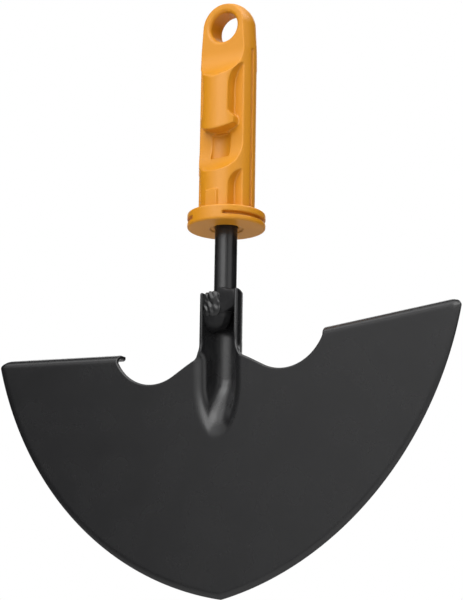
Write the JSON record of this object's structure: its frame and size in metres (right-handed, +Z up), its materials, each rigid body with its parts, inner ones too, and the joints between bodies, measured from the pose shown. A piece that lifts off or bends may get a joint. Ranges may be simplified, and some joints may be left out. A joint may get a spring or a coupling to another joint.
{
  "type": "lawn edging head",
  "caption": "Half-moon lawn edging blade with folded foot treads and a channel neck, on a round tang with a moulded quick-fit plug that clicks into a handle.",
  "frame": {"origin": "on the plug's axis, on the collar face that the end of the handle tube seats on", "axes": "+Z up the handle and away from the blade, +Y away from the blade's front, +X to the right seen from the front"},
  "size_m": [0.2374, 0.0346, 0.2691],
  "materials": {
    "black_paint": "satin",
    "painted_weld": "satin",
    "orange_plastic": "satin"
  },
  "bodies": {
    "root": {"blade": "black_paint", "tang": "black_paint", "weld_left": "painted_weld", "weld_right": "painted_weld", "weld_toe": "painted_weld", "plug": "orange_plastic"}
  },
  "joints": []
}
